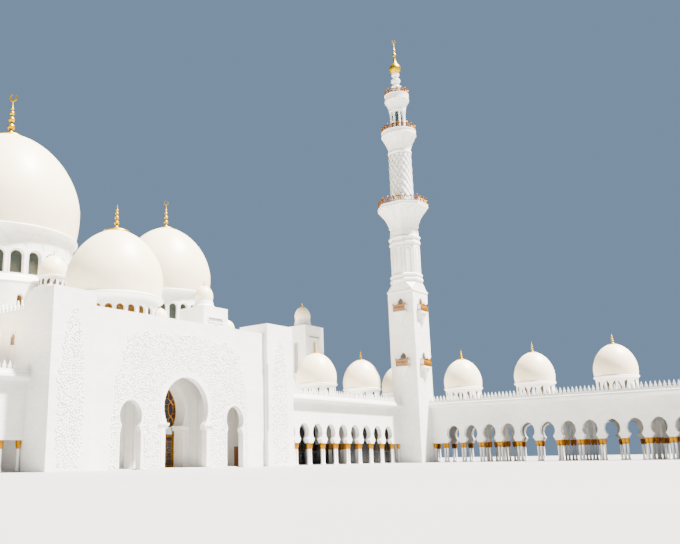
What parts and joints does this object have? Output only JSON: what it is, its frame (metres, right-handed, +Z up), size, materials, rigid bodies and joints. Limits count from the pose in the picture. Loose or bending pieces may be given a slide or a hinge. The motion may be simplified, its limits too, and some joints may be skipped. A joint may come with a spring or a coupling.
{
  "type": "mosque building, 1:10 scale model",
  "caption": "White domed mosque with an arched entrance portal between two pylons, open domed arcades on two sides and a balconied corner minaret, with gold finials.",
  "frame": {"origin": "on the ground in the middle of the central archway of the entrance portal", "axes": "+X runs to the right along the portal, +Y into the building, +Z up"},
  "size_m": [15.6338, 13.7807, 10.66],
  "materials": {
    "white_marble": "honed",
    "floor_stone": "polished",
    "gilding": "polished",
    "gilded_joinery": "satin"
  },
  "bodies": {
    "building": {"central_block_front": "white_marble", "door_screen": "gilded_joinery", "floor_slab": "floor_stone", "foyer_dome": "white_marble", "foyer_drum": "white_marble", "foyer_finial": "gilding", "foyer_roof": "white_marble", "hall_back_wall": "white_marble", "inner_portal_wall": "white_marble", "left_central_block": "white_marble", "left_dome": "white_marble", "left_drum": "white_marble", "left_finial": "gilding", "left_foyer_wall": "white_marble", "left_hall_roof": "white_marble", "left_hall_walls": "white_marble", "left_portal_wall": "white_marble", "left_pylon": "white_marble", "left_wing_back": "white_marble", "left_wing_front_1": "white_marble", "left_wing_front_2": "white_marble", "left_wing_roof": "white_marble", "main_dome": "white_marble", "main_drum": "white_marble", "main_finial": "gilding", "minaret_finial": "gilding", "minaret_first_balcony": "white_marble", "minaret_lantern": "white_marble", "minaret_octagon": "white_marble", "minaret_round_shaft": "white_marble", "minaret_square_shaft": "white_marble", "minaret_top_balcony": "white_marble", "portal_wall": "white_marble", "right_central_block": "white_marble", "right_dome": "white_marble", "right_drum": "white_marble", "right_finial": "gilding", "right_foyer_wall": "white_marble", "right_hall_roof": "white_marble", "right_hall_walls": "white_marble", "right_portal_wall": "white_marble", "right_pylon": "white_marble", "right_wing_back_1": "white_marble", "right_wing_back_2": "white_marble", "right_wing_back_3": "white_marble", "right_wing_front_1": "white_marble", "right_wing_front_2": "white_marble", "right_wing_front_3": "white_marble", "right_wing_roof": "white_marble", "side_arcade_back_1": "white_marble", "side_arcade_back_2": "white_marble", "side_arcade_back_3": "white_marble", "side_arcade_end": "white_marble", "side_arcade_front_1": "white_marble", "side_arcade_front_2": "white_marble", "side_arcade_front_3": "white_marble", "side_arcade_roof": "white_marble"},
    "left_door": {"left_door_leaf": "gilded_joinery"},
    "right_door": {"right_door_leaf": "gilded_joinery"}
  },
  "joints": [
    {"name": "left_door_hinge", "type": "hinge", "parent": "building", "child": "left_door", "pos_m": [-0.416, 0.737, 0], "axis": [0, 0, 1], "range_deg": [0, 90]},
    {"name": "right_door_hinge", "type": "hinge", "parent": "building", "child": "right_door", "pos_m": [0.416, 0.737, 0], "axis": [0, 0, -1], "range_deg": [0, 90]}
  ]
}
